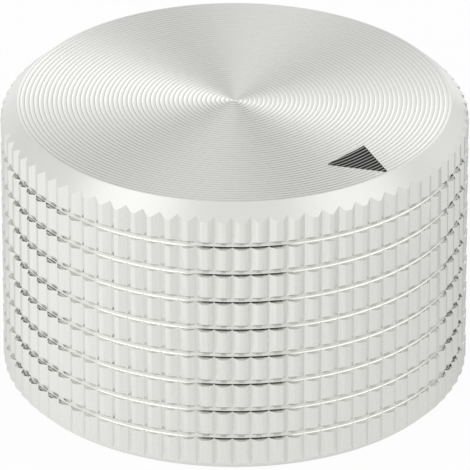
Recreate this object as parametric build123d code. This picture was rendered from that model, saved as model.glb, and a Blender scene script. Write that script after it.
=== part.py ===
"""Turned aluminium rotary knob with a knurled and ringed grip, a grub screw and a printed pointer.

The knob stands on its underside at z = 0, with its axis along +Z. The pointer lies along -Y and
the grub screw comes in from +Y. All lengths are in millimetres.
"""
from build123d import *
import os
from math import asin, cos, degrees, radians, sin, tan

# Outside form
grip_diameter = 25.4
knob_height = 15.9
bevel_run = 0.92
bevel_rise = 0.84
foot_chamfer = 0.5

# Straight knurl: V grooves with a narrow flat crest between them
knurl_teeth = 80
knurl_depth = 0.28
crest_width_share = 0.25
knurl_turn_share = 0.21

# Turned rings across the knurl: grooves just deeper than its roots
ring_grooves = 8
ring_depth = 0.31
ring_upper_flank = 0.3
ring_lower_flank = 0.14
ring_top_land = 1.48
ring_foot_land = 1.47

# Underside: recess over the control's nut, then the blind bore for its shaft
recess_diameter = 15.0
recess_depth = 4.5
shaft_diameter = 6.0
shaft_clearance = 0.05
bore_lead_in = 0.4
drill_point_angle = 118.0
crown_thickness = 1.1

# Grub screw and its cross hole
screw_diameter = 3.0
screw_length = 6.0
screw_clearance = 0.04
screw_setback = 0.15
screw_rise = 3.2
screw_point_chamfer = 0.45
screw_rim_chamfer = 0.25
socket_across_flats = 1.5
socket_depth = 2.0

# Printed pointer
pointer_length = 3.0
pointer_base = 3.0
pointer_margin = 0.08
pointer_skew = 5.0
ink_thickness = 0.03

# Overrun of the cuts past the metal, and of the turned envelope past the crests
overrun = 1.0
envelope_overrun = 0.1

grip_radius = grip_diameter / 2
face_radius = grip_radius - bevel_run
recess_radius = recess_diameter / 2
bore_radius = (shaft_diameter + shaft_clearance) / 2
drill_point_height = bore_radius / tan(radians(drill_point_angle / 2))
bore_top = knob_height - crown_thickness - drill_point_height
screw_height = recess_depth + screw_rise
hole_radius = screw_diameter / 2 + screw_clearance
tooth_angle = 360 / knurl_teeth
knurl_turn = knurl_turn_share * tooth_angle


def ring_heights():
    """Heights of the groove roots, from the first below the bevel to the last above the foot."""
    first = knob_height - bevel_rise - ring_top_land
    last = foot_chamfer + ring_foot_land
    spacing = (first - last) / (ring_grooves - 1)
    return [first - ring * spacing for ring in range(ring_grooves)]


def knurl_outline():
    """Face across the grip: one V-shaped root and one flat crest to each tooth."""
    root_radius = grip_radius - knurl_depth
    crest_width = crest_width_share * 2 * grip_radius * sin(radians(tooth_angle / 2))
    half_crest = degrees(asin(crest_width / 2 / grip_radius))
    points = []
    for tooth in range(knurl_teeth):
        root_angle = knurl_turn + tooth * tooth_angle
        crest_angle = root_angle + tooth_angle / 2
        corners = [
            (root_radius, root_angle),
            (grip_radius, crest_angle - half_crest),
            (grip_radius, crest_angle + half_crest),
        ]
        for radius, angle in corners:
            points.append((radius * cos(radians(angle)), radius * sin(radians(angle))))
    return make_face(Polyline(*points, close=True))


def turned_envelope():
    """Foot chamfer, ring grooves and bevel, turned flat across each tooth.

    The flats lie within a hundredth of a millimetre of round, and give every tooth straight edges.
    """
    outer = grip_radius + envelope_overrun
    upper_reach = ring_upper_flank * (ring_depth + envelope_overrun) / ring_depth
    lower_reach = ring_lower_flank * (ring_depth + envelope_overrun) / ring_depth
    bevel_reach = envelope_overrun * bevel_rise / bevel_run
    levels = [(grip_radius - foot_chamfer, 0), (outer, foot_chamfer + envelope_overrun)]
    for height in reversed(ring_heights()):
        levels.append((outer, height - lower_reach))
        levels.append((grip_radius - ring_depth, height))
        levels.append((outer, height + upper_reach))
    levels.append((outer, knob_height - bevel_rise - bevel_reach))
    levels.append((face_radius, knob_height))
    sections = []
    for radius, height in levels:
        flats = RegularPolygon(radius, side_count=knurl_teeth, major_radius=False, rotation=knurl_turn)
        sections.append(Plane.XY.offset(height) * flats)
    return loft(sections, ruled=True)


def underside_hollow():
    """Nut recess, lead-in, shaft bore and drill point as one turned cutter."""
    profile = [
        (0, -overrun),
        (recess_radius, -overrun),
        (recess_radius, recess_depth),
        (bore_radius + bore_lead_in, recess_depth),
        (bore_radius, recess_depth + bore_lead_in),
        (bore_radius, bore_top),
        (0, bore_top + drill_point_height),
    ]
    return revolve(Plane.XZ * make_face(Polyline(*profile, close=True)), Axis.Z)


def cross_hole():
    """Tapped hole from the grip's +Y side into the bore, at the thread's outside diameter."""
    mouth = Plane(origin=(0, grip_radius + overrun, screw_height), x_dir=(1, 0, 0), z_dir=(0, -1, 0))
    return extrude(mouth * Circle(hole_radius), amount=grip_radius + overrun)


def knob_body():
    grip = extrude(knurl_outline(), amount=knob_height) & turned_envelope()
    return grip - underside_hollow() - cross_hole()


def grub_screw():
    """Set screw with a chamfered flat point and a hex socket, its point just clear of the shaft."""
    radius = screw_diameter / 2
    profile = [
        (0, 0),
        (radius - screw_point_chamfer, 0),
        (radius, screw_point_chamfer),
        (radius, screw_length - screw_rim_chamfer),
        (radius - screw_rim_chamfer, screw_length),
        (0, screw_length),
    ]
    shank = revolve(Plane.XZ * make_face(Polyline(*profile, close=True)), Axis.Z)
    flats = RegularPolygon(socket_across_flats / 2, side_count=6, major_radius=False)
    socket = extrude(Plane.XY.offset(screw_length - socket_depth) * flats, amount=socket_depth + overrun)
    point = (0, bore_radius + screw_setback, screw_height)
    return Plane(origin=point, x_dir=(1, 0, 0), z_dir=(0, 1, 0)).location * (shank - socket)


def pointer_mark():
    """Triangle of ink on the top face, its tip towards the rim and printed slightly askew."""
    centre = -(face_radius - pointer_margin - pointer_length * 2 / 3)
    tip = (0, -pointer_length * 2 / 3)
    base_corners = [(side * pointer_base / 2, pointer_length / 3) for side in (1, -1)]
    outline = make_face(Polyline(tip, *base_corners, close=True))
    place = Location((0, centre, knob_height), (0, 0, pointer_skew))
    return extrude(place * outline, amount=ink_thickness)


os.makedirs("parts", exist_ok=True)
for make_node in (knob_body, grub_screw, pointer_mark):
    solid = make_node()
    export_step(solid, f"parts/{make_node.__name__}.step")
    print(f"{make_node.__name__}: {solid.volume:.2f} mm3, {len(solid.faces())} faces")
print(f"bore wall {recess_depth + bore_lead_in:.3f} to {bore_top:.3f}, screw axis at {screw_height:.3f}")
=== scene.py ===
# %% [markdown]
# This lesson builds a control knob that is turned from solid aluminium bar. Its face carries the
# fine rings of the facing cut, its rim is bevelled, and its grip is knurled and cut across by eight
# round grooves. A black pointer is printed on the face, and a grub screw at the back clamps the
# knob to its shaft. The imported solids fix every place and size, so they are loaded first and are
# never moved.

# %% Load the solids
from math import atan2, cos, degrees, pi, radians, sin, sqrt, tan

import bmesh
import bpy
import numpy as np
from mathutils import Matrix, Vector


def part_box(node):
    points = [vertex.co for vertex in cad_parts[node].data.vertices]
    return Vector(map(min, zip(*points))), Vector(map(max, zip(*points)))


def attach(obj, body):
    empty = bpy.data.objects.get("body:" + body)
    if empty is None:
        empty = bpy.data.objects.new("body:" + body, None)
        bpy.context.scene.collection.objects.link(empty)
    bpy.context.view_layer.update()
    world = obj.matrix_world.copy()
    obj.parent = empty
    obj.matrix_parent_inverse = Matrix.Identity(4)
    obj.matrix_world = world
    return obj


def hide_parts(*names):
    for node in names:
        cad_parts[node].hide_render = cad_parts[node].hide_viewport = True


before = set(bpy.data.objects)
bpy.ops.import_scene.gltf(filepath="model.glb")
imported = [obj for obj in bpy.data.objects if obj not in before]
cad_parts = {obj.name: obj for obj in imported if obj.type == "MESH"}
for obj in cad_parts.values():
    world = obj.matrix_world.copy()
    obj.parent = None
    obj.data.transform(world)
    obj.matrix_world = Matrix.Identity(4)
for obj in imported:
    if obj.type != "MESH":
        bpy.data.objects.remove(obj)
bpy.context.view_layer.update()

MM = 0.001
print("solids:", sorted(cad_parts))

# %% [markdown]
# A turned part is a stack of closed loops round an axis. Blender can spin a profile into such a
# stack, but then every loop is a plain circle, and the knurl is not. So the loops are made here as
# points, and this helper joins one loop to the next. The two have the same number of points, or the
# finer one has a whole multiple of the other's, so that the many points of the knurl can meet the
# fewer points of the face without a gap.

# %% Faces between two loops
def loop_faces(first, second):
    """Faces between two loops, each given as the index of its first point and its count."""
    (a, count_a), (b, count_b) = first, second
    if count_a == count_b:
        nexts = [(i, (i + 1) % count_a) for i in range(count_a)]
        return [(a + i, b + i, b + j, a + j) for i, j in nexts]
    if count_a < count_b:
        return [tuple(reversed(face)) for face in loop_faces(second, first)]
    step = count_a // count_b
    half = step // 2
    faces = []
    for i in range(count_b):
        here, there = b + i, b + (i + 1) % count_b
        run = [a + (i * step + k) % count_a for k in range(step + 1)]
        faces += [(run[k], here, run[k + 1]) for k in range(half)]
        faces.append((run[half], here, there))
        faces += [(run[k], there, run[k + 1]) for k in range(half, step)]
    return faces


print("faces between loops of 6 and 3 points:", len(loop_faces((0, 6), (6, 3))))

# %% [markdown]
# A whole stack becomes one closed mesh, with a point on the axis at each end. The knob is one piece
# of metal with several finishes, so each band of faces keeps the number of its material slot.

# %% Skin a stack of loops
def mesh_object(name, points, faces, unit=MM):
    """A mesh object in the scene, from points in that unit."""
    mesh = bpy.data.meshes.new(name)
    mesh.from_pydata([tuple(c * unit for c in point) for point in points], [], faces)
    piece = bpy.data.objects.new(name, mesh)
    bpy.context.scene.collection.objects.link(piece)
    return piece


def skin(name, loops, first_pole, last_pole, finishes=None):
    """A closed mesh object from loops of points in millimetres and a point at each end.

    Finishes holds the material slot of the band of faces that follows each loop.
    """
    finishes = finishes or [0] * len(loops)
    points, spans, faces, slots = [], [], [], []
    for loop in loops:
        spans.append((len(points), len(loop)))
        points += [tuple(point) for point in loop]
    for first, second, finish in zip(spans, spans[1:], finishes):
        band = loop_faces(first, second)
        faces += band
        slots += [finish] * len(band)
    for pole, end in ((first_pole, 0), (last_pole, -1)):
        start, count = spans[end]
        for i in range(count):
            edge = (start + i, start + (i + 1) % count)
            faces.append((*edge, len(points)) if start else (*reversed(edge), len(points)))
        points.append(tuple(pole))
        slots += [finishes[end]] * count
    piece = mesh_object(name, points, faces)
    piece.data.polygons.foreach_set("material_index", slots)
    return piece


def circle(radius, height, angles):
    """A loop round the axis at those angles; radius and height may differ from point to point."""
    radius, height = (np.broadcast_to(size, angles.shape) for size in (radius, height))
    return np.stack([radius * np.cos(angles), radius * np.sin(angles), height], axis=1)


print("points of a small loop:", circle(1, 0, np.array([0, pi])).round(3).tolist())

# %% [markdown]
# Metal that was cut has crisp edges between smooth surfaces. Smooth shading alone would round them,
# and flat shading would show every facet. So all faces are smooth, and an edge that bends by more
# than a set angle is marked sharp.

# %% Smooth faces with sharp edges
SHARP_TURNED, SHARP_THREAD = radians(18), radians(25)


def finish_mesh(piece, sharp_angle):
    """Normals point outwards, and edges sharper than the angle stay sharp."""
    bm = bmesh.new()
    bm.from_mesh(piece.data)
    bmesh.ops.recalc_face_normals(bm, faces=bm.faces)
    for face in bm.faces:
        face.smooth = True
    bm.to_mesh(piece.data)
    bm.free()
    piece.data.set_sharp_from_angle(angle=sharp_angle)
    triangles = sum(len(polygon.vertices) - 2 for polygon in piece.data.polygons)
    print(piece.name, "has", triangles, "triangles")


print("turned edges are sharp from", round(degrees(SHARP_TURNED)), "degrees")

# %% [markdown]
# The knurl is rolled: 80 V-shaped roots with a narrow flat crest between them. A bump could draw it
# on a smooth cylinder, but the teeth show in the outline and at the rim, so they are real geometry.
# A rolled knurl is never quite even, and every tooth gets its own small error in width and depth.
# Seven columns of points make one tooth: the root, one low on each flank, and two at each edge of
# the crest. The pair at the edge is a narrow worn strip, which catches the light as a real edge
# does.

# %% Columns of points round the grip
GRIP_RADIUS = 12.7
TEETH = 80
KNURL_DEPTH = 0.28
KNURL_TURN_SHARE = 0.21
CREST_SHARE = 0.25
FLANK_POINT_SHARE = 0.2
WORN_EDGE_SHARE = 0.02
WIDTH_ERROR_SHARE = 0.03
DEPTH_ERROR = 0.014
FACE_COLUMN_STEP = 5
KNURL_SEED = 80
rng = np.random.default_rng(KNURL_SEED)
tooth_angle = 2 * pi / TEETH
columns = []
for tooth in range(TEETH):
    left, right = (1 - CREST_SHARE) / 2 + rng.normal(0, WIDTH_ERROR_SHARE, 2)
    crest = abs(rng.normal(0, DEPTH_ERROR))
    flank = KNURL_DEPTH * (1 - FLANK_POINT_SHARE) + crest * FLANK_POINT_SHARE
    worn_left, worn_right = (crest + KNURL_DEPTH * WORN_EDGE_SHARE / side for side in (left, right))
    places = [
        (0, KNURL_DEPTH),
        (left * FLANK_POINT_SHARE, flank),
        (left - WORN_EDGE_SHARE, worn_left),
        (left + WORN_EDGE_SHARE, crest),
        (1 - right - WORN_EDGE_SHARE, crest),
        (1 - right + WORN_EDGE_SHARE, worn_right),
        (1 - right * FLANK_POINT_SHARE, flank),
    ]
    turn = tooth + KNURL_TURN_SHARE
    columns += [(tooth_angle * (turn + share), depth) for share, depth in places]
angles, depths = np.array(columns).T
face_angles = angles[::FACE_COLUMN_STEP]
print("columns round the grip:", len(angles), "and round the face:", len(face_angles))

# %% [markdown]
# The grooves are cut after the knurl, just deeper than its roots. Above, a groove is the quarter
# round of the tool's nose; below, it ends in a flat shoulder, so it shows a soft line with a hard
# lower edge. Eight booleans could cut them, but would leave slivers on every tooth. A cut reaches
# further along a crest than along a root, so each column of points finds for itself where the
# groove leaves its surface, and that gives every tooth the half-moon seen on the real knob.

# %% Loops of one groove
GROOVE_NOSE_RADIUS = 0.295
NOSE_DEGREES = [-86, -62, -38, -16, 0, 10, 20, 29]
SHOULDER_FALL = 0.012
SHOULDER_EDGE = 0.006
STACK_STEP = 0.002
nose_angles = np.radians(NOSE_DEGREES)
groove_depths = GROOVE_NOSE_RADIUS * np.cos(nose_angles)
groove_drops = GROOVE_NOSE_RADIUS * np.sin(nose_angles)
shoulder_drop = groove_drops[-1] + SHOULDER_FALL
groove_depths = np.append(groove_depths, [SHOULDER_EDGE, 0])
groove_drops = np.append(groove_drops, [shoulder_drop, shoulder_drop + SHOULDER_EDGE])
deepest = int(np.argmax(groove_depths))


def groove_loops(height):
    """Loops across one groove at that height, from its upper edge to its lower lip."""
    above, below = slice(None, deepest + 1), slice(None, deepest - 1, -1)
    upper = np.interp(depths, groove_depths[above], groove_drops[above])
    lower = np.interp(depths, groove_depths[below], groove_drops[below])
    loops = []
    for k, (depth, drop) in enumerate(zip(groove_depths, groove_drops)):
        past_edge = np.where(k < deepest, upper, lower) + (k - deepest) * STACK_STEP
        drops = np.where(depth < depths, past_edge, drop)
        loops.append(circle(GRIP_RADIUS - np.maximum(depth, depths), height - drops, angles))
    return loops


print("groove:", GROOVE_NOSE_RADIUS, "mm deep,", round(np.ptp(groove_drops), 3), "mm high")

# %% [markdown]
# From the top down, the grip is the bevel, eight grooves and the foot chamfer. The bevel cuts
# across the teeth, so it reaches lower on a root than on a crest and gives the rim its row of
# points. Every loop is listed with the finish of the band below it.

# %% Loops of the grip
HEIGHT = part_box("knob_body")[1].z / MM
BEVEL_RUN, BEVEL_RISE = 0.92, 0.84
FOOT_CHAMFER = 0.5
GROOVE_COUNT = 8
GROOVE_TOP, GROOVE_FOOT = 13.605, 1.985
# Two slots hold painted shade: the steep side of the face's ridges and the groove's shoulder.
FACED, RIDGE_SHADED, TURNED, KNURLED, GROOVED, SHOULDER_SHADED = range(6)
FACE_RADIUS = GRIP_RADIUS - BEVEL_RUN
tooth_top = HEIGHT - BEVEL_RISE * (1 - depths / BEVEL_RUN)
grip = [
    (circle(FACE_RADIUS, HEIGHT, angles), TURNED),
    (circle(FACE_RADIUS + BEVEL_RUN / 2, HEIGHT - BEVEL_RISE / 2, angles), TURNED),
    (circle(GRIP_RADIUS - depths, tooth_top, angles), KNURLED),
]
for height in np.linspace(GROOVE_TOP, GROOVE_FOOT, GROOVE_COUNT):
    *nose, shoulder, edge, lip = groove_loops(height)
    grip += [(loop, GROOVED) for loop in nose]
    # The shoulder takes the painted shade of the groove.
    grip += [(shoulder, SHOULDER_SHADED), (edge, GROOVED), (lip, KNURLED)]
grip.append((circle(GRIP_RADIUS - depths, FOOT_CHAMFER - depths, angles), TURNED))
grip.append((circle(GRIP_RADIUS - FOOT_CHAMFER, 0, angles), TURNED))
print("loops down the grip:", len(grip))

# %% [markdown]
# The face is faced off with a coarse feed, and the round nose of the tool leaves a spiral of
# shallow scallops that reads as rings a quarter of a millimetre apart. The feed runs outwards, so
# the outer side of each ridge is steep and the inner side is gentle. A bump would do for a smooth
# sheen, but the rings are real geometry here, because their slopes throw the two bright fans across
# the face and draw the thin dark rings in front.

# %% Loops of the face
FEED = 0.2525
SCALLOP_PLACES = np.array([0, 0.1, 0.25, 0.45, 0.65, 0.85, 1])
SCALLOP_SLOPES = np.tan(np.radians([-20, -8, -3, 3, 7.5, 11.8]))
RIM_LAND = 0.06
scallop_shares = np.append(0, np.cumsum(SCALLOP_SLOPES * np.diff(SCALLOP_PLACES)))


def face_height(radius):
    """Height of the scalloped face at that radius."""
    return HEIGHT + FEED * np.interp(radius / FEED % 1, SCALLOP_PLACES, scallop_shares)


rings = np.arange(int(FACE_RADIUS / FEED) + 1)
face_radii = np.add.outer(rings, SCALLOP_PLACES[:-1]).ravel() * FEED
face_radii = face_radii[(face_radii > 0) & (face_radii < FACE_RADIUS - RIM_LAND)]
face_loops = [circle(r, face_height(r), face_angles) for r in face_radii]
steep = np.isclose(np.round(face_radii / FEED), face_radii / FEED)
print("rings:", len(rings), "each", round(-FEED * min(scallop_shares), 4), "mm deep")

# %% [markdown]
# The underside is hidden in use. It has a flat ring to stand on, a recess that clears the nut of
# the control, and a blind bore for the shaft that ends in the cone of the drill. Its flat faces
# keep the marks of the feed. With these loops the stack is complete, and the body is skinned in one
# go.

# %% Loops of the underside, and the body
RECESS_RADIUS, RECESS_DEPTH, RECESS_LIP, RECESS_CORNER = 7.5, 4.5, 0.1, 0.1
BORE_RADIUS, BORE_LEAD_IN, BORE_TOP, DRILL_TIP = 3.025, 0.4, 12.982, 14.8
UNDER_FEED, UNDER_MARK, UNDER_EDGE = 0.3, 0.006, 0.1
foot_radius, lip_radius = GRIP_RADIUS - FOOT_CHAMFER, RECESS_RADIUS + RECESS_LIP
lead_radius = BORE_RADIUS + BORE_LEAD_IN


def faced_ring(outer, inner, height):
    """Profile points of a flat turned ring, with a shallow mark at every feed."""
    radii = np.arange(outer, inner, -UNDER_FEED / 2)
    return [(r, height + UNDER_MARK * (k % 2)) for k, r in enumerate(radii)]


under_profile = [
    *faced_ring(foot_radius - UNDER_EDGE, lip_radius + UNDER_EDGE, 0),
    (lip_radius, 0),
    (RECESS_RADIUS, RECESS_LIP),
    (RECESS_RADIUS, RECESS_DEPTH - RECESS_CORNER),
    (RECESS_RADIUS - RECESS_CORNER, RECESS_DEPTH),
    *faced_ring(RECESS_RADIUS - UNDER_FEED, lead_radius + UNDER_EDGE, RECESS_DEPTH),
    (lead_radius, RECESS_DEPTH),
    (BORE_RADIUS, RECESS_DEPTH + BORE_LEAD_IN),
    (BORE_RADIUS, BORE_TOP),
    (BORE_RADIUS / 2, (BORE_TOP + DRILL_TIP) / 2),
]
# The steep side of every ridge takes the painted shade.
stack = [(loop, RIDGE_SHADED if is_steep else FACED) for loop, is_steep in zip(face_loops, steep)]
stack += grip
stack += [(circle(r, z, face_angles), TURNED) for r, z in under_profile]
loops, finishes = zip(*stack)
body = skin("turned_knob", loops, (0, 0, HEIGHT), (0, 0, DRILL_TIP), finishes)
print("loops in the whole stack:", len(loops))

# %% [markdown]
# The grub screw is an M3 set screw with a hex socket, screwed into a tapped hole. A thread is a
# groove that winds round the axis. Blender's screw modifier can wind a profile, but leaves open
# ends to close by hand. Here a point's radius simply depends on its place along the axis and on its
# angle together, and the same function makes the screw and, a little larger, the tap that cuts the
# hole.

# %% Thread
SCREW_RADIUS, SCREW_PITCH, THREAD_DEPTH, THREAD_FLAT_SHARE = 1.5, 0.5, 0.3, 0.15
SCREW_POINT, SCREW_END, SCREW_HEIGHT = 3.175, 9.175, 7.7
SCREW_COLUMNS, STEPS_PER_PITCH = 48, 6
screw_angles = np.arange(SCREW_COLUMNS) * 2 * pi / SCREW_COLUMNS
thread_step = SCREW_PITCH / STEPS_PER_PITCH


def thread_radius(along, extra):
    """Radius round the loop at that place along the screw, a flattened wave from crest to root."""
    turn = (along / SCREW_PITCH - screw_angles / (2 * pi)) % 1
    wave = np.abs(2 * turn - 1) * (1 + 2 * THREAD_FLAT_SHARE) - THREAD_FLAT_SHARE
    return SCREW_RADIUS + extra - THREAD_DEPTH * np.clip(wave, 0, 1)


def screw_loop(radius, along):
    """A loop round the screw's axis, which runs along +Y at the screw's height."""
    loop = circle(radius, along, screw_angles)
    return np.stack([loop[:, 0], loop[:, 2], SCREW_HEIGHT - loop[:, 1]], axis=1)


print("turns of the screw's thread:", (SCREW_END - SCREW_POINT) / SCREW_PITCH)

# %% [markdown]
# On the real knob a tap cuts the thread of the hole, and here it does too: a mesh in the shape of
# the tap is taken away from the body with a boolean. The exact solver is used, because the tap
# meets the knurl, the grooves and the bore in many thin slivers.

# %% Tapped cross hole
THREAD_GAP = 0.03
TAP_START, TAP_OVERRUN = 2.2, 0.6
tap_places = np.arange(TAP_START, GRIP_RADIUS + TAP_OVERRUN, thread_step)
tap_loops = [screw_loop(thread_radius(y, THREAD_GAP), y) for y in tap_places]
tap = skin("tap", tap_loops, *((0, tap_places[end], SCREW_HEIGHT) for end in (0, -1)))
finish_mesh(tap, SHARP_THREAD)
finish_mesh(body, SHARP_TURNED)
cut = body.modifiers.new("tapped_hole", "BOOLEAN")
cut.operation, cut.solver, cut.object = "DIFFERENCE", "EXACT", tap
bpy.context.view_layer.objects.active = body
bpy.ops.object.modifier_apply(modifier=cut.name)
bpy.data.objects.remove(tap)
finish_mesh(body, SHARP_TURNED)

# %% [markdown]
# The screw itself has a chamfered point and a chamfered rim, and a hexagon is broached into its
# end. The chamfers only limit the radius of the thread, so it runs out over them as on a real
# screw. A hexagon is a loop too: its radius swings between the flats and the corners.

# %% Grub screw
POINT_CHAMFER, RIM_CHAMFER = 0.45, 0.25
SOCKET_FLATS, SOCKET_DEPTH, SOCKET_BREAK = 1.5, 2.0, 0.08
point_radius, rim_radius = SCREW_RADIUS - POINT_CHAMFER, SCREW_RADIUS - RIM_CHAMFER
socket_floor = SCREW_END - SOCKET_DEPTH
screw_loops = [screw_loop(point_radius, SCREW_POINT)]
for y in np.arange(SCREW_POINT + thread_step, SCREW_END, thread_step):
    limit = min(point_radius + (y - SCREW_POINT), rim_radius + (SCREW_END - y))
    screw_loops.append(screw_loop(np.minimum(thread_radius(y, 0), limit), y))
hexagon = SOCKET_FLATS / 2 / np.cos((screw_angles + pi / 6) % (pi / 3) - pi / 6)
broken_edge = np.maximum(hexagon + SOCKET_BREAK / 2, SOCKET_FLATS / 2 + SOCKET_BREAK)
screw_loops += [
    screw_loop(rim_radius, SCREW_END),
    screw_loop(broken_edge, SCREW_END),
    screw_loop(hexagon, SCREW_END - SOCKET_BREAK),
    screw_loop(hexagon, socket_floor),
]
screw_tip = (0, SCREW_POINT, SCREW_HEIGHT)
socket_tip = (0, socket_floor - SOCKET_FLATS / 4, SCREW_HEIGHT)
screw = skin("socket_grub_screw", screw_loops, screw_tip, socket_tip)
finish_mesh(screw, SHARP_THREAD)

# %% [markdown]
# The pointer is pad-printed: a soft pad lays a film of ink over the rings, so the film follows
# them. A flat triangle would cut through the ridges. So it is built in strips along the rings, and
# each strip runs between the two points where its circle crosses the triangle's edges.

# %% Strips of the ink pointer
POINTER_CENTRE = (0, -9.7)
POINTER_SKEW = radians(5)
POINTER_CORNERS = [(0, -2), (1.5, 1), (-1.5, 1)]
SHORTEST_STRIP = 0.02
c, s = cos(POINTER_SKEW), sin(POINTER_SKEW)
skewed = [(x * c - y * s, x * s + y * c) for x, y in POINTER_CORNERS]
corners = [Vector((x + POINTER_CENTRE[0], y + POINTER_CENTRE[1])) for x, y in skewed]


def strip_ends(radius):
    """Angles at which a circle about the axis crosses the triangle's edges."""
    found = []
    for start, end in zip(corners, corners[1:] + corners[:1]):
        side = end - start
        a, b, c = side.dot(side), 2 * start.dot(side), start.dot(start) - radius ** 2
        if b * b < 4 * a * c:
            continue
        for sign in (-1, 1):
            share = (-b + sign * sqrt(b * b - 4 * a * c)) / (2 * a)
            if 0 <= share <= 1:
                place = start + share * side
                found.append(atan2(place.y, place.x))
    return (min(found), max(found)) if len(found) > 1 else None


strips = [(r, strip_ends(r)) for r in face_radii]
strips = [(r, ends) for r, ends in strips if ends and (ends[1] - ends[0]) * r > SHORTEST_STRIP]
print("strips in the pointer:", len(strips))

# %% [markdown]
# The film is a thin closed shell, twelve thousandths of a millimetre thick: an upper and a lower
# sheet of the same strips, joined round their border. A hair of a gap keeps the lower sheet off the
# metal, so that the two surfaces don't flicker through each other.

# %% Ink pointer
INK_FILM, INK_GAP = 0.012, 0.001
STRIP_POINTS = 14
ink_points, ink_faces = [], []
for lift in (INK_FILM, INK_GAP):
    for r, (start, end) in strips:
        for t in np.linspace(start, end, STRIP_POINTS):
            ink_points.append((r * cos(t), r * sin(t), face_height(r) + lift))
rows, sheet = len(strips), len(strips) * STRIP_POINTS
for row in range(rows - 1):
    for k in range(STRIP_POINTS - 1):
        a = row * STRIP_POINTS + k
        quad = (a, a + 1, a + 1 + STRIP_POINTS, a + STRIP_POINTS)
        ink_faces += [quad, tuple(sheet + i for i in reversed(quad))]
border = list(range(STRIP_POINTS))
border += [row * STRIP_POINTS + STRIP_POINTS - 1 for row in range(1, rows)]
border += [(rows - 1) * STRIP_POINTS + k for k in range(STRIP_POINTS - 2, -1, -1)]
border += [row * STRIP_POINTS for row in range(rows - 2, 0, -1)]
for a, b in zip(border, border[1:] + border[:1]):
    ink_faces.append((b, a, sheet + a, sheet + b))
ink = mesh_object("ink_pointer", ink_points, ink_faces)
finish_mesh(ink, SHARP_TURNED)

# %% [markdown]
# Every surface starts from what it really is. The knob is aluminium with a clear anodised skin,
# which is hard, pale and a little warm. How bright it looks depends on how it was cut, so the face,
# the bevel, the knurl and the grooves get a finish each. Three small helpers keep the recipes
# short: colours are written as sRGB hex values, but Blender calculates with linear light.

# %% Material helpers
def linear(hex_colour):
    """An sRGB hex colour as linear RGBA."""
    values = [int(hex_colour[i:i + 2], 16) / 255 for i in (1, 3, 5)]
    return [v / 12.92 if v <= 0.04045 else ((v + 0.055) / 1.055) ** 2.4 for v in values] + [1]


def add(tree, kind, settings, links):
    """A node of that kind; settings are attributes or input values, links go to its inputs.

    A Mix node has inputs of the same name, so they go by number: 2 and 3 for values, 6 and 7 for
    colours.
    """
    node = tree.nodes.new(kind)
    for key, value in settings.items():
        if isinstance(key, str) and hasattr(node, key):
            setattr(node, key, value)
        else:
            node.inputs[key].default_value = value
    for key, socket in links.items():
        tree.links.new(socket, node.inputs[key])
    return node


def new_material(name):
    """An empty material and its node tree."""
    material = bpy.data.materials.new(name)
    material.use_nodes = True
    material.node_tree.nodes.clear()
    return material, material.node_tree


print("sRGB #808080 is", round(linear("#808080")[0], 3), "in linear light")

# %% [markdown]
# A lathe leaves fine marks that run round the axis. They are far too fine to model one by one, but
# their effect is known: light spreads across such marks and hardly along them. So the shader is
# anisotropic, with its tangent taken round the axis, and on the face this draws the light out into
# two fans. The feed of each cut also leaves faint lines: a noise that depends only on the distance
# from the axis and on the height, so that it runs round in rings. The tangent is given a quarter
# turn, so that the light spreads across the rings.

# %% Turned aluminium
FINE_FEED = 0.07
QUARTER_TURN = 0.25


def turned_aluminium(name, colour, roughness, anisotropy, mark_depth):
    """Clear anodised aluminium off the lathe: bright across the marks, soft along them."""
    material, tree = new_material(name)
    place = add(tree, "ShaderNodeTexCoord", {}, {}).outputs["Object"]
    flat = add(tree, "ShaderNodeVectorMath", {"operation": "MULTIPLY", 1: (1, 1, 0)}, {0: place})
    radius = add(tree, "ShaderNodeVectorMath", {"operation": "LENGTH"}, {0: flat.outputs[0]})
    height = add(tree, "ShaderNodeSeparateXYZ", {}, {0: place})
    along = add(
        tree,
        "ShaderNodeMath",
        {"operation": "SUBTRACT"},
        {0: radius.outputs["Value"], 1: height.outputs["Z"]},
    )
    marks = add(
        tree,
        "ShaderNodeTexNoise",
        {"noise_dimensions": "1D", "Scale": 1 / (FINE_FEED * MM), "Detail": 2.0},
        {"W": along.outputs[0]},
    )
    bump = add(
        tree,
        "ShaderNodeBump",
        {"Strength": 1.0, "Distance": mark_depth * MM},
        {"Height": marks.outputs[0]},
    )
    tangent = add(tree, "ShaderNodeTangent", {"direction_type": "RADIAL", "axis": "Z"}, {})
    shader = add(
        tree,
        "ShaderNodeBsdfPrincipled",
        {
            "Base Color": linear(colour),
            "Metallic": 1.0,
            "Roughness": roughness,
            "Anisotropic": anisotropy,
            "Anisotropic Rotation": QUARTER_TURN,
        },
        {"Tangent": tangent.outputs[0], "Normal": bump.outputs[0]},
    )
    add(tree, "ShaderNodeOutputMaterial", {}, {"Surface": shader.outputs[0]})
    return material


print("lines of the fine feed to a millimetre:", round(1 / FINE_FEED, 1))

# %% [markdown]
# Four finishes are made here from the turned recipe. Two of them are painted shade, greyer than a
# clean cut: one for the shade in the crease at the steep side of each ridge of the face, and one
# for the shade deep in a groove, on its shoulder.

# %% Faced and turned finishes, and painted shade on ridges and shoulders
# Faced: the strong anisotropy draws the light into fans.
faced = turned_aluminium(
    "aluminium_faced_clear_anodised",
    "#EDEDEA",
    roughness=0.28,
    anisotropy=0.85,
    mark_depth=0.0004,
)
# Ridge shade: dull grey painted shade, the thin dark rings on the front of the face.
ridge_shade = turned_aluminium(
    "aluminium_ridge_painted_shade",
    "#C0C0BC",
    roughness=0.4,
    anisotropy=0.5,
    mark_depth=0.0004,
)
# Turned: the silky sheen of the bevel, with the faintest lines round it.
turned = turned_aluminium(
    "aluminium_turned_clear_anodised",
    "#EDEDEA",
    roughness=0.25,
    anisotropy=0.55,
    mark_depth=0.002,
)
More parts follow.
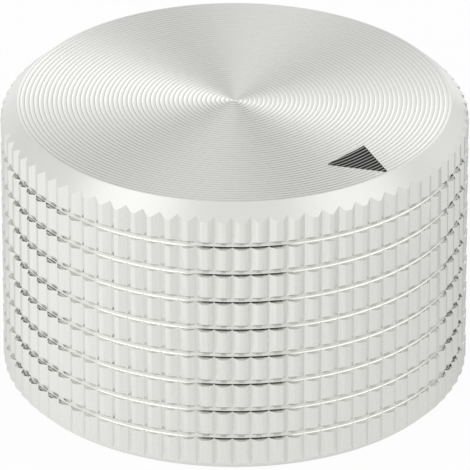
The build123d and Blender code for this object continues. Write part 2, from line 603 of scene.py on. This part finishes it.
# Shoulder shade: a little grey painted shade, so that the half-moons under the grooves stand out.
shoulder_shade = turned_aluminium(
    "aluminium_shoulder_painted_shade",
    "#E0E0DC",
    roughness=0.18,
    anisotropy=0.3,
    mark_depth=0.0004,
)
print("turned finishes:", faced.name, ridge_shade.name, turned.name, shoulder_shade.name)

# %% [markdown]
# The knurl is pressed, not cut. Its flanks copy the scratches of the rollers, so they show thin
# streaks along the axis. The streaks are a noise that is stretched down the grip; it tips the
# surface a little and makes it duller in places. Real scratches are finer than a pixel, so they are
# drawn coarser here, just wide enough to show.

# %% Knurled aluminium
STREAK_WIDTH, STREAK_LENGTH, STREAK_DEPTH = 0.14, 6.0, 0.006
# Pale and satin, with streaks that make no two flanks alike.
knurled, tree = new_material("aluminium_knurled_clear_anodised")
place = add(tree, "ShaderNodeTexCoord", {}, {}).outputs["Object"]
stretch = tuple(1 / (size * MM) for size in (STREAK_WIDTH, STREAK_WIDTH, STREAK_LENGTH))
grain = add(tree, "ShaderNodeVectorMath", {"operation": "MULTIPLY", 1: stretch}, {0: place})
streaks = add(
    tree,
    "ShaderNodeTexNoise",
    {"Scale": 1.0, "Detail": 3.0},
    {"Vector": grain.outputs[0]},
)
bump = add(
    tree,
    "ShaderNodeBump",
    {"Strength": 1.0, "Distance": STREAK_DEPTH * MM},
    {"Height": streaks.outputs[0]},
)
dull = add(
    tree,
    "ShaderNodeMapRange",
    {"From Min": 0.3, "From Max": 0.7, "To Min": 0.2, "To Max": 0.36},
    {"Value": streaks.outputs[0]},
)
shader = add(
    tree,
    "ShaderNodeBsdfPrincipled",
    {"Base Color": linear("#F1F1EE"), "Metallic": 1.0},
    {"Roughness": dull.outputs[0], "Normal": bump.outputs[0]},
)
add(tree, "ShaderNodeOutputMaterial", {}, {"Surface": shader.outputs[0]})
print("knurled finish:", knurled.name)

# %% [markdown]
# The round of the grooves was cut last, with a sharp tool, and is too narrow to show any marks of
# its own. It is the brightest mirror on the knob, so its finish is a single smooth shader. The
# slots are filled in the order in which the stack counted them.

# %% Grooved aluminium, and the slots of the body
# Bright and nearly mirror-like: it draws the white lines at the sides and the dark line in front.
grooved, tree = new_material("aluminium_grooved_clear_anodised")
shader = add(
    tree,
    "ShaderNodeBsdfPrincipled",
    {"Base Color": linear("#EAEAE7"), "Metallic": 1.0, "Roughness": 0.15},
    {},
)
add(tree, "ShaderNodeOutputMaterial", {}, {"Surface": shader.outputs[0]})
for material in (faced, ridge_shade, turned, knurled, grooved, shoulder_shade):
    body.data.materials.append(material)
print("finishes on the knob:", [material.name for material in body.data.materials])

# %% [markdown]
# The screw is steel with a black oxide skin. The bath leaves it dark and holds a little oil, and
# where the oil has gone it is duller, in spots of about a fifth of a millimetre.

# %% Blackened steel
OIL_SPOT = 0.2
# Near black with a soft, uneven gleam.
blackened, tree = new_material("steel_black_oxide")
place = add(tree, "ShaderNodeTexCoord", {}, {}).outputs["Object"]
mottle = add(
    tree,
    "ShaderNodeTexNoise",
    {"Scale": 1 / (OIL_SPOT * MM), "Detail": 3.0},
    {"Vector": place},
)
oily = add(
    tree,
    "ShaderNodeMapRange",
    {"To Min": 0.28, "To Max": 0.45},
    {"Value": mottle.outputs[0]},
)
shader = add(
    tree,
    "ShaderNodeBsdfPrincipled",
    {"Base Color": linear("#2A2A2C"), "Metallic": 1.0},
    {"Roughness": oily.outputs[0]},
)
add(tree, "ShaderNodeOutputMaterial", {}, {"Surface": shader.outputs[0]})
screw.data.materials.append(blackened)
print("screw finish:", blackened.name)

# %% [markdown]
# Pad-printing ink is matt and black. The film is thinnest where it lies over the top of a ridge,
# and there the metal shows through and greys it; the same grey also stands in for the highlight
# that each ridge catches, so it is partly painted highlight. The distance from the axis, counted in
# feeds, says how far a point is from the nearest ridge.

# %% Pad-printed ink
THIN_INK_AND_HIGHLIGHT_SHARE = 0.21
# Matt black with fine grey rings, thin ink and painted highlight, that carry on the rings of the
# face.
printed, tree = new_material("ink_pad_printed_black")
place = add(tree, "ShaderNodeTexCoord", {}, {}).outputs["Object"]
flat = add(tree, "ShaderNodeVectorMath", {"operation": "MULTIPLY", 1: (1, 1, 0)}, {0: place})
radius = add(tree, "ShaderNodeVectorMath", {"operation": "LENGTH"}, {0: flat.outputs[0]})
feeds = add(
    tree,
    "ShaderNodeMath",
    {"operation": "DIVIDE", 1: FEED * MM},
    {0: radius.outputs["Value"]},
)
from_ridge = add(tree, "ShaderNodeMath", {"operation": "PINGPONG", 1: 0.5}, {0: feeds.outputs[0]})
thin_ink_and_highlight = add(
    tree,
    "ShaderNodeMapRange",
    {"interpolation_type": "SMOOTHSTEP", "From Max": THIN_INK_AND_HIGHLIGHT_SHARE, "To Min": 1.0, "To Max": 0.0},
    {"Value": from_ridge.outputs[0]},
)
colour = add(
    tree,
    "ShaderNodeMix",
    {"data_type": "RGBA", 6: linear("#0E0E0D"), 7: linear("#B6B6B0")},
    {0: thin_ink_and_highlight.outputs[0]},
)
shader = add(
    tree,
    "ShaderNodeBsdfPrincipled",
    {"Roughness": 0.6, "Specular IOR Level": 0.2},
    {"Base Color": colour.outputs[2]},
)
add(tree, "ShaderNodeOutputMaterial", {}, {"Surface": shader.outputs[0]})
ink.data.materials.append(printed)
print("pointer finish:", printed.name)

# %% [markdown]
# The three dressed pieces take the places of the three solids, which are hidden. The list pairs
# each with the solid that it stands for and the material slot of the record, and each rides on the
# knob's only body, because nothing on a knob moves against the rest of it.

# %% Replace the solids
dressed = (
    (body, "knob_body", "turned_aluminium"),
    (screw, "grub_screw", "blackened_steel"),
    (ink, "pointer_mark", "black_ink"),
)
for piece, node, slot in dressed:
    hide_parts(node)
    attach(piece, "root")
print("pieces:", [piece.name for piece, node, slot in dressed])

# %% [markdown]
# The picture was taken from a long way off with a long lens, so the knob hardly narrows towards the
# back. The camera looks down at 28 degrees, with the pointer to the right of the middle. Places
# round the set are given as the camera sees them: so many degrees to its right, and so many degrees
# up.

# %% Camera
CAMERA_AZIMUTH = radians(-43.5)
CAMERA_ELEVATION = radians(28.1)
CAMERA_DISTANCE, CAMERA_LENS, SENSOR_WIDTH = 459.6, 644.5, 36
CLIP_START = 10
TARGET_RIGHT, TARGET_HEIGHT = 0.02, 7.626


def seen(right, away, up):
    """A place as the camera sees it, in millimetres from the foot of the axis, in the row frame."""
    c, s = cos(CAMERA_AZIMUTH), sin(CAMERA_AZIMUTH)
    return Vector((c * right - s * away, s * right + c * away, up)) * MM


def towards(azimuth, elevation, distance):
    """A place that far off, at degrees to the right of the camera and degrees up."""
    a, e = radians(azimuth), radians(elevation)
    return seen(distance * cos(e) * sin(a), -distance * cos(e) * cos(a), distance * sin(e))


def aim(thing, target):
    """Turn a camera or lamp towards the target."""
    thing.rotation_euler = (target - thing.location).to_track_quat("-Z", "Y").to_euler()


camera = bpy.data.objects.new("camera", bpy.data.cameras.new("camera"))
bpy.context.scene.collection.objects.link(camera)
camera.data.sensor_width, camera.data.lens = SENSOR_WIDTH, CAMERA_LENS
camera.data.clip_start = CLIP_START * MM
back, rise = CAMERA_DISTANCE * cos(CAMERA_ELEVATION), CAMERA_DISTANCE * sin(CAMERA_ELEVATION)
camera.location = seen(TARGET_RIGHT, -back, TARGET_HEIGHT + rise)
aim(camera, seen(TARGET_RIGHT, 0, TARGET_HEIGHT))
bpy.context.scene.camera = camera
print("camera at", [round(c / MM) for c in camera.location])

# %% [markdown]
# The floor is a sheet of white paper. To the camera it is plain white, with a trace of the knob's
# shadow. The bright grip mirrors the paper, so it is pale in reflections too, and there its
# brightness matters. What the grip mirrors carries painted light and shadow: near the knob the
# paper is painted darker to the right and behind, and a little brighter to the left, which makes
# one flank of every tooth lighter than the other. Farther off, the paper is evenly white again.

# %% Floor
FLOOR_REACH = 2000
RIGHT_FADE, RIGHT_LEVELS = (-20, 20), (1.03, 0.74)
BACK_FADE, BACK_LEVELS = (-9, 4), (1.0, 0.72)
NEAR_PAPER, OPEN_PAPER = 28, 75
sides = ((-1, -1), (1, -1), (1, 1), (-1, 1))
sheet_corners = [(x * FLOOR_REACH, y * FLOOR_REACH, 0) for x, y in sides]
floor = mesh_object("floor", sheet_corners, [(0, 1, 2, 3)])
paper, tree = new_material("paper_white_sweep")
path = add(tree, "ShaderNodeLightPath", {}, {}).outputs
place = add(tree, "ShaderNodeTexCoord", {}, {}).outputs["Object"]


def fade(way, places, levels):
    """Brightness that changes from one level to the other between two places along that way."""
    (start, end), (first, last) = places, levels
    along = add(
        tree,
        "ShaderNodeVectorMath",
        {"operation": "DOT_PRODUCT", 1: way / MM},
        {0: place},
    )
    return add(
        tree,
        "ShaderNodeMapRange",
        {"From Min": start * MM, "From Max": end * MM, "To Min": first, "To Max": last},
        {"Value": along.outputs["Value"]},
    ).outputs[0]


# Painted light and shadow on the paper that the grip mirrors: darker to the right and behind.
to_right = fade(seen(1, 0, 0), RIGHT_FADE, RIGHT_LEVELS)
to_back = fade(seen(0, 1, 0), BACK_FADE, BACK_LEVELS)
near_shade = add(tree, "ShaderNodeMath", {"operation": "MULTIPLY"}, {0: to_right, 1: to_back})
distance = add(tree, "ShaderNodeVectorMath", {"operation": "LENGTH"}, {0: place})
open_paper = add(
    tree,
    "ShaderNodeMapRange",
    {"interpolation_type": "SMOOTHSTEP", "From Min": NEAR_PAPER * MM, "From Max": OPEN_PAPER * MM},
    {"Value": distance.outputs["Value"]},
)
shaded_paper = add(tree, "ShaderNodeMix", {3: 1.0}, {0: open_paper.outputs[0], 2: near_shade.outputs[0]})
print("paper at the knob's right:", RIGHT_LEVELS[1], "and behind it:", BACK_LEVELS[1])

# %% [markdown]
# The material has two parts. The plain diffuse paper takes the light and the knob's shadow. A glow
# is mixed in for rays from the camera, which see plain white paper, and for rays that metal
# mirrors, which see the painted light and shadow, without any more light falling on the knob.

# %% White paper
PAPER_SHARE, MIRRORED_SHARE = 0.95, 0.74
mirror = add(
    tree,
    "ShaderNodeMath",
    {"operation": "ADD"},
    {0: path["Is Glossy Ray"], 1: path["Is Transmission Ray"]},
)
mirrored = add(
    tree,
    "ShaderNodeMath",
    {"operation": "MULTIPLY", 1: MIRRORED_SHARE},
    {0: mirror.outputs[0]},
)
white = add(
    tree,
    "ShaderNodeMath",
    {"operation": "MULTIPLY_ADD", 1: PAPER_SHARE},
    {0: path["Is Camera Ray"], 2: mirrored.outputs[0]},
)
level = add(tree, "ShaderNodeMix", {3: 1.0}, {0: path["Is Camera Ray"], 2: shaded_paper.outputs[0]})
diffuse = add(tree, "ShaderNodeBsdfDiffuse", {"Color": linear("#F2F2F0")}, {})
glow = add(tree, "ShaderNodeEmission", {"Color": (1, 1, 1, 1)}, {"Strength": level.outputs[0]})
mix = add(
    tree,
    "ShaderNodeMixShader",
    {},
    {0: white.outputs[0], 1: diffuse.outputs[0], 2: glow.outputs[0]},
)
add(tree, "ShaderNodeOutputMaterial", {}, {"Surface": mix.outputs[0]})
floor.data.materials.append(paper)
print("floor:", paper.name)

# %% [markdown]
# Metal shows its surroundings, so the studio is part of the look. Lamps alone would show in the
# metal as hard shapes, so the knob stands in a white tent. A tent has only brighter and darker
# patches of cloth, and each patch here is a smooth spot in the world. It has a direction as the
# camera sees it, a spread at which it has faded away, a core that is even, all in degrees, and the
# brightness that it adds or takes away.

# %% Tent
TENT, DARKEST = 0.85, 0.03
PATCHES = (
    # azimuth, elevation, spread, core, strength
    (-66, 48, 28, 0, 0.36),  # bright cloth to the left
    (75, 48, 27, 0, 0.26),  # weaker cloth to the right
    (180, 42, 50, 0, -0.17),  # dim back wall
    (163, 30.5, 16, 0, 0.95),  # bright gap behind, which throws the two fans
    (141, 33, 13, 0, 0.2),  # the right edge of that gap
    (-173, 28, 11, 0, 0.2),  # and its left edge
    (-170, 65, 12, 0, 0.8),  # high behind, for the front of the face
    (-151, 47, 12, 3, -0.45),  # dark fold to the left of the gap
    (151, 60, 17, 5, -0.6),  # dark fold above the gap
    (80, 25, 16, 0, -0.25),  # dim cloth low on the right
    (103, 18, 14, 0, -0.35),  # and farther back
)
world = bpy.data.worlds.new("studio")
bpy.context.scene.world = world
world.use_nodes = True
tree = world.node_tree
tree.nodes.clear()
direction = add(tree, "ShaderNodeTexCoord", {}, {})
level = None
for azimuth, elevation, spread, core, strength in PATCHES:
    facing = add(
        tree,
        "ShaderNodeVectorMath",
        {"operation": "DOT_PRODUCT", 1: towards(azimuth, elevation, 1 / MM)},
        {0: direction.outputs["Generated"]},
    )
    patch = add(
        tree,
        "ShaderNodeMapRange",
        {
            "interpolation_type": "SMOOTHSTEP",
            "From Min": cos(radians(spread)),
            "From Max": cos(radians(core)),
            "To Max": strength,
        },
        {"Value": facing.outputs["Value"]},
    )
    # The first patch adds to the plain tent, each later one to the sum so far.
    so_far = {1: level.outputs[0]} if level is not None else {}
    level = add(
        tree,
        "ShaderNodeMath",
        {"operation": "ADD", 1: TENT},
        {0: patch.outputs[0], **so_far},
    )
level = add(tree, "ShaderNodeMath", {"operation": "MAXIMUM", 1: DARKEST}, {0: level.outputs[0]})
sky = add(tree, "ShaderNodeBackground", {"Color": (1, 1, 1, 1)}, {"Strength": level.outputs[0]})
add(tree, "ShaderNodeOutputWorld", {}, {"Surface": sky.outputs[0]})
print("patches in the tent:", len(PATCHES))

# %% [markdown]
# Two low reflectors light the grooves from the sides and draw their bright lines. They are area
# lamps, because a large lamp close to the set gives soft light. Their size is given in degrees as
# the knob sees it, and their power follows from the radiance of the panel.

# %% Reflectors
REFLECTOR_DISTANCE = 600


def reflector(name, azimuth, elevation, size, radiance):
    """A soft panel aimed at the knob; its size is in degrees as the knob sees it."""
    light = bpy.data.lights.new(name, "AREA")
    light.shape = "RECTANGLE"
    light.size, light.size_y = (2 * REFLECTOR_DISTANCE * tan(radians(s / 2)) * MM for s in size)
    light.energy = radiance * pi * light.size * light.size_y
    lamp = bpy.data.objects.new(name, light)
    bpy.context.scene.collection.objects.link(lamp)
    lamp.location = towards(azimuth, elevation, REFLECTOR_DISTANCE)
    aim(lamp, Vector((0, 0, HEIGHT / 2 * MM)))


reflector("reflector_left", azimuth=-46, elevation=14, size=(44, 28), radiance=0.6)
reflector("reflector_right", azimuth=66, elevation=7, size=(78, 14), radiance=0.55)

# %% [markdown]
# Bright metal looks like metal only where it also mirrors something dark. One card of black flock
# stands below the camera, and the grooves mirror it as the dark line in front. A far one at the
# left, with a sloping top that stays below what the bevel mirrors, makes the dark half-moons there,
# and a near, low one does the same at the right. The camera itself doesn't see the cards.

# %% Black cards
CARD_STEPS = 9
# Flock swallows nearly all light, so a card is a hole in the white tent.
flock, tree = new_material("flock_black")
shader = add(tree, "ShaderNodeBsdfDiffuse", {"Color": linear("#141414")}, {})
add(tree, "ShaderNodeOutputMaterial", {}, {"Surface": shader.outputs[0]})


def black_card(name, distance, azimuths, heights):
    """A card that stands on the floor that far off, with an azimuth and a height for each end."""
    feet = [towards(azimuth, 0, distance) for azimuth in np.linspace(*azimuths, CARD_STEPS)]
    rises = [Vector((0, 0, height * MM)) for height in np.linspace(*heights, CARD_STEPS)]
    spots = [spot for foot, rise in zip(feet, rises) for spot in (foot, foot + rise)]
    quads = [(2 * k, 2 * k + 1, 2 * k + 3, 2 * k + 2) for k in range(CARD_STEPS - 1)]
    card = mesh_object(name, spots, quads, unit=1)
    card.data.materials.append(flock)
    card.visible_camera = False


black_card("card_front", distance=500, azimuths=(-17, 25), heights=(215, 215))
black_card("card_left", distance=500, azimuths=(-133, -91), heights=(100, 265))
black_card("card_right", distance=45, azimuths=(108, 140), heights=(14, 14))

# %% [markdown]
# The Standard view shows colours as they are written.

# %% Standard view
bpy.context.scene.view_settings.view_transform = "Standard"
